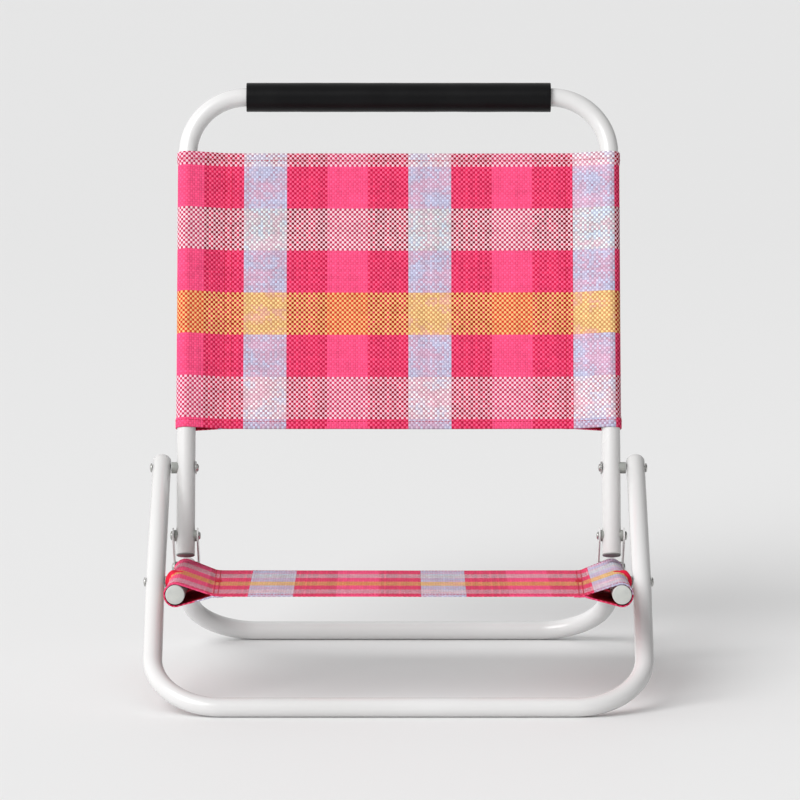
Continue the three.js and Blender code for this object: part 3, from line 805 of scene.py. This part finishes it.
SLEEVE, PANEL, BOUND = 0, 2, 4  # material slots; the wrong side takes the next one


# A point of a sling's section: across from the chair's centre and out from the plane of the tubes,
# with its normal, its run along the cloth, its angle round the tube, up from the outer side, and
# the part of the cloth it is in.
Point = namedtuple("Point", "across out normal_across normal_out run angle part")


def half_section(half, seam, radius):
    """One side of a sling's section, from the middle of the panel to the end of its flap."""
    rise = LAYER / 2
    spread = math.asin((radius - rise) / seam)
    tangent = math.pi / 2 + spread
    seam_x = half - seam
    cos, sin = math.cos(tangent), math.sin(tangent)
    away = math.pi
    points = [(seam_x * i / PANEL_STEPS, 0.0, 0.0, 1.0, away, PANEL) for i in range(PANEL_STEPS)]
    for i in range(SIDE_STEPS):
        t = i / SIDE_STEPS
        x = seam_x + (half + radius * cos - seam_x) * t
        out = rise + (radius * sin - rise) * t
        points.append((x, out, cos * min(1.0, t * 3), sin, away, SLEEVE))
    for i in range(ARC_STEPS):
        angle = tangent - 2 * tangent * i / ARC_STEPS
        across, out = math.cos(angle), math.sin(angle)
        reach = radius + SLEEVE_SLACK * max(0.0, -out) ** 2
        points.append((half + reach * across, reach * out, across, out, angle, SLEEVE))
    low = (half + radius * cos, -(radius + SLEEVE_SLACK) * sin)
    for i in range(SIDE_STEPS):
        t = i / SIDE_STEPS
        x = low[0] + (seam_x - low[0]) * t
        out = low[1] + (-rise - low[1]) * t
        points.append((x, out, cos * min(1.0, (1 - t) * 3), -sin, away, SLEEVE))
    for i in range(FLAP_STEPS + 1):
        x, out = seam_x - FLAP * i / FLAP_STEPS, -rise - rise * min(1.0, i)
        points.append((x, out, 0.0, -1.0, away, PANEL))
    runs = [0.0]
    for before, after in zip(points, points[1:]):
        runs.append(runs[-1] + math.hypot(after[0] - before[0], after[1] - before[1]))
    return [Point(*point[:4], run, *point[4:]) for point, run in zip(points, runs)]


HEM_FOLD = (  # (distance from the hem, layers out, distance on the cloth)
    (HEM, -1.0, -HEM), (HEM / 2, -1.0, -HEM / 2), (0.35 * MM, -0.95, -0.3 * MM),
    (0.0, -0.5, 0.0), (0.35 * MM, -0.05, 0.3 * MM),
)


def hem_rows(length, notch_at):
    """Rows along the cloth, as in HEM_FOLD. The cloth is turned under at both ends."""
    stops = [0.0, length]
    if notch_at:
        stops = [0.0, notch_at - NOTCH_REACH, notch_at + NOTCH_REACH, length]
    between = []
    for start, end in zip(stops[::2], stops[1::2]):
        count = round((end - start) / ROW_STEP)
        between += [start + (end - start) * i / count for i in range(count + 1)]
    if notch_at:
        between += [notch_at] + [notch_at + way * row * MM for row in NOTCH_ROWS for way in (-1, 1)]
    near = ROW_STEP / 2
    flat = [(d, 0.0, d) for d in sorted(between) if near < d < length - near]
    far_hem = [(length - d, layer, length - cloth) for d, layer, cloth in reversed(HEM_FOLD)]
    return [*HEM_FOLD, *flat, *far_hem]


def notch_shape(angle):
    """How deep the notch is at an angle round the tube and how far its lip flares, as shares.

    The lip lies flat over the top of the tube, where the folded back comes down on it."""
    start, end = NOTCH_ARC
    t = (2 * angle - start - end) / (end - start)
    if abs(t) >= 1:
        return 0.0, 0.0
    over_top = min(1.0, max(0.0, (t - LIP_FALL_START) / LIP_FALL_LENGTH))
    return math.sqrt(1 - t**2), (1 - t**4) * (1 - LIP_FALL * over_top)


class Sling:
    """A sling of one cut of cloth. place maps (across, out, distance) to a point in space."""

    def __init__(self, length, half_at, seam_at, radius, place, sag, notch_at=None):
        self.length, self.half_at, self.seam_at, self.radius = length, half_at, seam_at, radius
        self.place, self.sag, self.notch_at = place, sag, notch_at

    def section(self, distance):
        return half_section(self.half_at(distance), self.seam_at(distance), self.radius)

    def surface(self, sign, point, distance, lift):
        """The place of a section's point, lifted off the cloth's middle."""
        x, out, normal_x, normal_out = point[:4]
        seam_x = self.half_at(distance) - self.seam_at(distance)
        across, height = x + normal_x * lift, out + normal_out * lift
        if x <= seam_x and abs(out) < LAYER * 1.6:
            height += self.sag(x / seam_x, distance / self.length, sign)
        else:
            slope = self.half_at(distance) - self.radius / 2 - seam_x
            fade = max(0.0, 1 - (x - seam_x) / slope)
            height += self.sag(1.0, distance / self.length, sign) * fade
        near_seam = math.exp(-(((x - seam_x) / PUCKER_WIDTH) ** 2))
        pucker = noise.noise(Vector((sign * 3.1, distance * PUCKER_RATE, 0.4)))
        height += PUCKER_HEIGHT * near_seam * pucker * (1 if normal_out > 0 else -1)
        return self.place(sign * across, height, distance)

    def vertex(self, sign, point, row, side):
        """The place and cloth coordinates of a grid point. side is -1 before the notch."""
        distance, layer, cloth = row
        lift = layer * LAYER
        near_hem = min(distance, self.length - distance)
        in_hem = min(1.0, max(0.0, 1 - (near_hem - HEM) / HEM_BLEND))
        lift += in_hem * LAYER * (0.5 if point.part == PANEL else 1.0)
        if self.notch_at and abs(distance - self.notch_at) < NOTCH_REACH:
            deep, flare = notch_shape(point.angle)
            offset = abs(distance - self.notch_at)
            opened = NOTCH_DEPTH * deep
            from_edge = offset * (NOTCH_REACH - opened) / NOTCH_REACH
            distance = self.notch_at + side * (opened + from_edge)
            cloth = distance
            if side < 0:
                lift += NOTCH_FLARE * flare * max(0.0, 1 - from_edge / NOTCH_LIP) ** 2
        return self.surface(sign, point, distance, lift), (sign * point.run, cloth)

    def mesh(self, name, cloth):
        rows = hem_rows(self.length, self.notch_at)
        vertices, uvs, grid = [], [], []
        for row in rows:
            section = self.section(row[0])
            columns = [(-1, p) for p in reversed(section)] + [(1, p) for p in section[1:]]
            offset = row[0] - self.notch_at if self.notch_at else 1.0
            line = []
            for sign, point in columns:
                slit = abs(offset) < 1e-7 and notch_shape(point.angle)[0] > 0
                made = []
                for side in (-1, 1) if slit else ((-1,) if offset < 0 else (1,)):
                    made.append(len(vertices))
                    place, uv = self.vertex(sign, point, row, side)
                    vertices.append(place)
                    uvs.append(uv)
                line.append((made[0], made[-1]))
            grid.append(line)
        faces, materials = [], []
        parts = [point.part for _, point in columns]
        notched = [notch_shape(point.angle)[0] > 0 for _, point in columns]
        for r, (low, high) in enumerate(zip(grid, grid[1:])):
            offset = (rows[r][0] + rows[r + 1][0]) / 2 - self.notch_at if self.notch_at else 1.0
            share = (NOTCH_REACH - NOTCH_DEPTH) / NOTCH_REACH
            bound = abs(offset) * share < (TAPE_FRONT if offset < 0 else TAPE_REAR)
            for c in range(len(low) - 1):
                faces.append((low[c][1], low[c + 1][1], high[c + 1][0], high[c][0]))
                part = SLEEVE if SLEEVE in parts[c:c + 2] else PANEL
                materials.append(BOUND if bound and any(notched[c:c + 2]) else part)
        mesh = bpy.data.meshes.new(name)
        mesh.from_pydata([tuple(v) for v in vertices], [], faces)
        uv_of_loops = [value for loop in mesh.loops for value in uvs[loop.vertex_index]]
        mesh.uv_layers.new(name="cloth").data.foreach_set("uv", uv_of_loops)
        mesh.polygons.foreach_set("use_smooth", [True] * len(mesh.polygons))
        for material in (cloth, TAPE, cloth, cloth, TAPE, TAPE):
            mesh.materials.append(material)
        mesh.polygons.foreach_set("material_index", materials)
        return mesh

    def make(self, name, cloth, body, node):
        """The cloth as an object, with its flat width and length."""
        sling = in_scene(name, self.mesh(name, cloth))
        solid = sling.modifiers.new("thickness", "SOLIDIFY")
        solid.thickness, solid.offset, solid.material_offset = CLOTH_THICKNESS, 0, 1
        sling.visible_diffuse = False  # keeps its strong red off the floor and the tubes
        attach(sling, body)
        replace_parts(sling, node)
        return sling, (2 * self.section(0)[-1].run, self.length + 2 * HEM)

    def shade_skin(self, name, body):
        """Painted shade inside both sleeves: one thin, darker red skin just inside the cloth, which also
        keeps light out.
        """
        inside = -(CLOTH_THICKNESS / 2 + SHADE_SKIN_GAP)
        spans = [(0.0, self.length)]
        if self.notch_at:
            cut = NOTCH_DEPTH + SHADE_SKIN_PAST_NOTCH
            spans = [(0.0, self.notch_at - cut), (self.notch_at + cut, self.length)]
        vertices, faces = [], []
        for start, end in spans:
            count = round((end - start) / (2 * ROW_STEP))
            for sign in (-1, 1):
                rows = []
                for r in range(count + 1):
                    distance = start + SHADE_SKIN_END + (end - start - 2 * SHADE_SKIN_END) * r / count
                    ring = [point for point in self.section(distance) if point.part == SLEEVE][1:-1]
                    rows.append(range(len(vertices), len(vertices) + len(ring)))
                    vertices += [self.surface(sign, point, distance, inside) for point in ring]
                for low, high in zip(rows, rows[1:]):
                    faces += band(low, high, closed=False)
        new_object(name, vertices, faces, SLEEVE_SHADE_SKIN, body, "woven_cloth")


def on_section(section, run):
    """The point of a section at a run along the cloth."""
    for before, after in zip(section, section[1:]):
        if run <= after.run:
            t = (run - before.run) / (after.run - before.run)
            return Point(*(a + (b - a) * t for a, b in zip(before, after)))
    return section[-1]


STITCH_LENGTH, STITCH_PITCH, THREAD_RADIUS = 2.5 * MM, 3.3 * MM, 0.3 * MM
SEAT_THREAD_RADIUS = 0.46 * MM
STITCH_SIDES = 6
STITCH_SHAPE = (  # (share of the length, share of the radius, radii out from the cloth)
    (0.0, 0.35, -0.5), (0.2, 0.9, 0.1), (0.5, 1.0, 0.35), (0.8, 0.9, 0.1), (1.0, 0.35, -0.5),
)
STITCH_LIFT = 0.1 * MM
BACK_SEAM_ROWS, SEAT_SEAM_ROWS = (0.6 * MM, 7.6 * MM), (0.6 * MM, 4.9 * MM)  # in from the seam
SEAM_ENDS = 2.5 * MM  # the seam rows stop short of the cloth's edges
TACK_SPACING, TACK_PAST_SEAM, TACK_RADIUS = 16 * MM, 2.4 * MM, 0.45 * MM
TACK_THREADS = (  # (mm along the seam, mm out from the cloth)
    (-1.2, 0.1), (-0.4, 0.1), (0.4, 0.1), (1.2, 0.1), (-0.8, 0.65), (0.0, 0.65), (0.8, 0.65),
)


class Stitches:
    """Stitches gathered into one mesh. Each is a short bowed length of thread."""

    def __init__(self):
        self.vertices, self.faces = [], []

    def add(self, start, end, out, thread):
        beside = (end - start).normalized().cross(out).normalized()
        rings = []
        for t, thick, bow in STITCH_SHAPE:
            centre = start.lerp(end, t) + out * (bow * thread)
            rings.append(range(len(self.vertices), len(self.vertices) + STITCH_SIDES))
            for angle in circle(STITCH_SIDES):
                spoke = beside * math.cos(angle) + out * math.sin(angle)
                self.vertices.append(centre + spoke * (thick * thread))
        for low, high in zip(rings, rings[1:]):
            self.faces += band(low, high)
        self.faces += [tuple(rings[0])[::-1], tuple(rings[-1])]

    def row(self, at, start, end, thread=THREAD_RADIUS):
        """Stitches along a line. at gives the place on the cloth at a distance along the line."""
        count = max(1, round((end - start) / STITCH_PITCH))
        for i in range(count):
            middle_at = start + (end - start) * (i + 0.5) / count
            ends = [at(middle_at + way * STITCH_LENGTH / 2) for way in (-1, 1)]
            (first, out), (last, last_out) = ends
            self.add(first, last, (out + last_out).normalized(), thread)


def sew(sling, name, body, seam_rows, seam_thread, tack_at):
    """The seam rows along both sleeves, the hem rows across, and a tack between the seam rows.

    seam_rows are distances in from the seam line, at the front and back of the panel alike."""
    stitches = Stitches()
    surface_lift = CLOTH_THICKNESS / 2 + STITCH_LIFT

    def on_cloth(sign, distance, pick, lift):
        """A place just above the cloth, and the way out from the cloth there."""
        point = pick(sling.section(distance))
        place = sling.surface(sign, point, distance, surface_lift + lift)
        above = sling.surface(sign, point, distance, surface_lift + lift + 1 * MM)
        return place, (above - place).normalized()

    def in_from_seam(inward, behind=False):
        def pick(section):
            if behind:
                return on_section(section, section[FLAP_START].run + inward)
            return on_section(section, section[PANEL_STEPS].run - inward)
        return pick

    def hem_lift(distance):
        return LAYER / 2 if min(distance, sling.length - distance) < HEM + 1 * MM else 0.0

    for sign in (-1, 1):
        for inward in seam_rows:
            for behind in (False, True):
                pick = in_from_seam(inward, behind)
                stitches.row(
                    lambda d: on_cloth(sign, d, pick, hem_lift(d) + (STITCH_LIFT if behind else 0)),
                    SEAM_ENDS, sling.length - SEAM_ENDS, seam_thread,
                )
        if tack_at:
            picks = [in_from_seam(max(seam_rows) + TACK_PAST_SEAM), in_from_seam(min(seam_rows))]
            for bar in (-1, 1):
                for shift, lift in TACK_THREADS:
                    at = tack_at + bar * TACK_SPACING / 2 + shift * MM
                    (inner, out), (outer, _) = [on_cloth(sign, at, pick, lift * MM) for pick in picks]
                    stitches.add(inner, outer, out, TACK_RADIUS)
        for distance in (HEM_STITCHES, sling.length - HEM_STITCHES):
            section = sling.section(distance)
            seam_run, reach = section[PANEL_STEPS].run, section[SLEEVE_OUTER].run
            for start, end, lift in ((0.0, seam_run, LAYER / 2), (seam_run, reach, LAYER)):
                def at(run):
                    return on_cloth(sign, distance, lambda sec: on_section(sec, max(0.0, run)), lift)

                stitches.row(at, start, end)
    new_object(name, stitches.vertices, stitches.faces, THREAD, body, "woven_cloth")


def back_place(across, out, distance):
    point = along(back_pivot, back_up, BACK_SLING_BOTTOM + distance) + back_front * out
    return in_space(across, point)


def seat_place(across, out, distance):
    point = along(leg_pivot, rail_back, seat_front_distance + distance) + rail_up * out
    return in_space(across, point)


BACK_SAG, SEAT_SAG = 1.4 * MM, 1.3 * MM
BACK_RIPPLE, SEAT_RIPPLE = (0.5 * MM, 2.0), (0.4 * MM, 7.0)  # (height, seed)


def ripple(x, v, sign, height, seed):
    """A slow wave over the panel, still at the seams. x and v are shares of its half and length."""
    return height * noise.noise(Vector((sign * x * 1.6, v * 1.3, seed))) * (1 - x**4)


def back_sag(x, v, sign):
    """The back hangs very slightly behind the plane of the uprights."""
    belly = BACK_SAG * (1 - x**2) * (0.75 + 0.25 * math.sin(math.pi * v))
    return ripple(x, v, sign, *BACK_RIPPLE) - belly


def seat_sag(x, v, sign):
    """The seat lies below the rails' plane all over."""
    return ripple(x, v, sign, *SEAT_RIPPLE) - SEAT_SAG


def seat_half(distance):
    return rail_half(seat_front_distance + distance)


def seat_seam(distance):
    return SEAT_SEAM_FRONT + (SEAT_SEAM_REAR - SEAT_SEAM_FRONT) * distance / SEAT_DEPTH


def same(value):
    return lambda distance: value


back_sewn = Sling(
    BACK_SLING_TOP - BACK_SLING_BOTTOM, same(UPRIGHT_HALF), same(BACK_SEAM), SLEEVE_RADIUS, back_place,
    back_sag,
)
seat_sewn = Sling(
    SEAT_DEPTH, seat_half, seat_seam, SLEEVE_RADIUS + SEAT_SLEEVE_EASE, seat_place, seat_sag,
    notch_at=-seat_front_distance,
)
back_sling, back_flat = back_sewn.make("back_cloth_sling", BACK_CLOTH, "back_frame", "back_sling")
seat_sling, seat_flat = seat_sewn.make("seat_cloth_sling", SEAT_CLOTH, "seat_frame", "seat_sling")
back_sewn.shade_skin("back_sleeve_shade_skin", "back_frame")
seat_sewn.shade_skin("seat_sleeve_shade_skin", "seat_frame")
sew(back_sewn, "back_stitching", "back_frame", BACK_SEAM_ROWS, THREAD_RADIUS, None)
sew(seat_sewn, "seat_stitching", "seat_frame", SEAT_SEAM_ROWS, SEAT_THREAD_RADIUS, SEAT_TACK)

# ---------- plugs and caps


def turned_piece(name, node, side, place, profile, material, body, slot, **shape):
    vertices, faces = lathe(profile, place, **shape)
    piece = new_object(f"{name}_{side}", vertices, faces, material, body, slot)
    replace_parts(piece, f"{node}_{side}")


rail_taper = rail_half(0) - rail_half(1)
rail_forward = in_space(rail_taper, -rail_back).normalized()
leg_topward = in_space(leg_toe_in, leg_up).normalized()
stem_radius = TUBE_RADIUS - TUBE_WALL - 0.1 * MM
PLUG_STEM, CAP_STEM = 14 * MM, 16 * MM
SEATING = 0.05 * MM  # from a tube's end to what sits on it


def plug_profile(flange, crown):
    """A stem in the tube and a flange on its end, the flange's face very slightly crowned."""
    corners = [
        (-PLUG_STEM, 0), (-PLUG_STEM, stem_radius), (SEATING, stem_radius), (SEATING, TUBE_RADIUS),
        (flange - crown, TUBE_RADIUS - 0.2 * MM), (flange, 0),
    ]
    return filleted(corners, 0.7 * MM)


# a dome over the leg's end, its stem in the tube carrying the bolt at back_pivot
cap_profile = [(-CAP_STEM, 0), (-CAP_STEM, stem_radius), (SEATING, stem_radius)]
cap_profile += domed(SEATING, CAP_DOME, TUBE_RADIUS, 12)

for side, sign in SIDES.items():
    flip = Vector((sign, 1, 1))
    for name, node, origin, axis, profile, material, body, slot in (
        ("rail_end_plug", "rail_plug", in_space(RAIL_HALF_FRONT, rail_end), rail_forward,
         plug_profile(PLUG_FLANGE, 0.4 * MM), GREY, "seat_frame", "grey_plastic"),
        ("upright_end_plug", "upright_plug", in_space(UPRIGHT_HALF, upright_end), in_space(0, -back_up),
         plug_profile(UPRIGHT_PLUG_FLANGE, 0.2 * MM), DARK_GREY, "back_frame", "grey_plastic"),
        ("leg_top_cap", "leg_cap", leg_end, leg_topward, cap_profile, PAINT, "front_leg", "white_paint"),
    ):
        place = on_axis(origin * flip, axis * flip)
        turned_piece(name, node, side, place, profile, material, body, slot, sides=TUBE_SIDES)

# ---------- link plates

PLATE_END_STEPS, PLATE_HOLE_SIDES = 20, 24
PLATE_EDGE = 0.35 * MM


def loop_of(bm, x, points):
    """Vertices and edges of a closed outline at a distance from the centre plane."""
    ring = [bm.verts.new(in_space(x, point)) for point in points]
    return [bm.edges.new(pair) for pair in zip(ring, ring[1:] + ring[:1])]


def make_plate(place, side):
    """A flat bar with round ends, a hole at each pivot and softened edges."""
    node = f"link_plate_{place}_{side}"
    low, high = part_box(node)
    run = (link_foot - link_top).normalized()
    beside = Vector((-run.y, run.x))
    radius = PLATE_WIDTH / 2
    outline = []
    for centre, sign in ((link_foot, 1), (link_top, -1)):
        for i in range(PLATE_END_STEPS + 1):
            angle = math.pi * i / PLATE_END_STEPS
            across, ahead = sign * radius * math.cos(angle), sign * radius * math.sin(angle)
            outline.append(centre + beside * across + run * ahead)
    bm = bmesh.new()
    edges = loop_of(bm, low.x, outline)
    for pivot in (link_foot, link_top):
        spokes = [Vector((math.cos(angle), math.sin(angle))) for angle in circle(PLATE_HOLE_SIDES)]
        edges += loop_of(bm, low.x, [pivot + spoke * HOLE_RADIUS for spoke in spokes])
    bmesh.ops.triangle_fill(bm, use_beauty=True, edges=edges)
    bmesh.ops.dissolve_limit(bm, angle_limit=0.01, verts=bm.verts, edges=bm.edges)
    made = bmesh.ops.extrude_face_region(bm, geom=bm.faces[:])
    moved = [item for item in made["geom"] if isinstance(item, bmesh.types.BMVert)]
    bmesh.ops.translate(bm, verts=moved, vec=(high.x - low.x, 0, 0))
    bmesh.ops.recalc_face_normals(bm, faces=bm.faces)
    mesh = bpy.data.meshes.new(f"side_{node}")
    bm.to_mesh(mesh)
    bm.free()
    mesh.polygons.foreach_set("use_smooth", [True] * len(mesh.polygons))
    mesh.materials.append(PAINT)
    plate = in_scene(f"side_{node}", mesh)
    bevel = plate.modifiers.new("edges", "BEVEL")
    bevel.width, bevel.segments, bevel.limit_method = PLATE_EDGE, 3, "ANGLE"
    bevel.harden_normals = True
    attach(plate, "links")
    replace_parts(plate, node)


for side in SIDES:
    for place in ("outer", "inner"):
        make_plate(place, side)

# ---------- bolts, nuts, washers, spacers


def reach_of(node, side):
    """How far a node on a pivot reaches from the centre plane: nearest, furthest."""
    low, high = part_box(node)
    return (low.x, high.x) if side == "left" else (-high.x, -low.x)


def bolt_profile(near, far, shank=2.5 * MM, head=4.7 * MM, height=2.2 * MM):
    face = far - height
    corners = [(near, 0), (near, shank), (face, shank), (face, head - 0.3 * MM)]
    return corners + [(face + 0.35 * MM, head)] + domed(face + 0.5 * MM, far, head)


def nut_profile(near, far, radius=4.3 * MM):
    """A low domed nut: a thin flange against the work and a dome towards the chair's middle."""
    flange, shoulder, waist = far - 0.6 * MM, far - 0.9 * MM, 0.88 * radius
    corners = [(far, 0), (far, radius), (flange, radius), (flange, waist), (shoulder, waist)]
    return corners + domed(shoulder - 0.1 * MM, near, 0.86 * radius)


def ring_profile(node, side):
    near, far = reach_of(node, side)
    low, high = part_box(node)
    radius, between = (high.z - low.z) / 2, (near + far) / 2
    corners = [
        (between, radius), (far, radius), (far, HOLE_RADIUS), (near, HOLE_RADIUS), (near, radius),
        (between, radius),
    ]
    return filleted(corners, 0.3 * MM)


def saddle_bend(near, far, tube_half, run):
    """Moves the end of a spacer that meets its tube so that it lies on the tube's round side."""
    meets_near = abs(near - tube_half) < abs(far - tube_half)
    end = near if meets_near else far
    sign = 1 if meets_near else -1
    beside = Vector((-run.y, run.x))

    def bend(distance, across, up):
        if abs(distance - end) > 0.8 * MM:
            return distance
        off = min(abs(beside.x * across + beside.y * up), TUBE_RADIUS)
        return tube_half + sign * math.sqrt(TUBE_RADIUS**2 - off**2) + (distance - end)

    return bend


PLATE_SIDES = "_outer", "_inner"
link_foot_half = rail_half((link_foot - leg_pivot).length)
# Each row: pivot, half width and run of the tube its spacers sit on, the bolt's body, the body of
# the nut, the washer and the spacers, and the ends of the spacers' names.
HARDWARE = (
    ("link_top", link_top, UPRIGHT_HALF, back_up, "back_frame", "back_frame", PLATE_SIDES),
    ("link_foot", link_foot, link_foot_half, rail_back, "seat_frame", "seat_frame", PLATE_SIDES),
    ("leg_pivot", leg_pivot, rail_half(0), rail_back, "seat_frame", "seat_frame", ("",)),
    ("back_pivot", back_pivot, UPRIGHT_HALF, back_up, "front_leg", "back_frame", ("",)),
)
for side, sign in SIDES.items():
    for name, pivot, tube_half, run, bolt_body, body, spacers in HARDWARE:
        place = on_pivot(sign, pivot)
        bolt, nut, washer = f"{name}_bolt", f"{name}_nut", f"{name}_washer"
        profile = bolt_profile(*reach_of(f"{bolt}_{side}", side))
        turned_piece(f"{name}_round_bolt", bolt, side, place, profile, STEEL, bolt_body, "plated_steel")
        near, far = reach_of(f"{nut}_{side}", side)
        if name == "back_pivot":  # the nut bears on a washer
            far = reach_of(f"{washer}_{side}", side)[0] - GAP
        profile = nut_profile(near, far)
        turned_piece(f"{name}_cap_nut", nut, side, place, profile, STEEL, body, "plated_steel")
        if name == "back_pivot":
            profile = ring_profile(f"{washer}_{side}", side)
            turned_piece(f"{name}_flat_washer", washer, side, place, profile, STEEL, body,
                         "plated_steel")
        for end in spacers:
            spacer = f"{name}_spacer{end}"
            profile = ring_profile(f"{spacer}_{side}", side)
            bend = saddle_bend(*reach_of(f"{spacer}_{side}", side), tube_half, run)
            turned_piece(f"{spacer}_sleeve", spacer, side, place, profile, SPACER_GREY, body,
                         "grey_plastic", bend=bend)
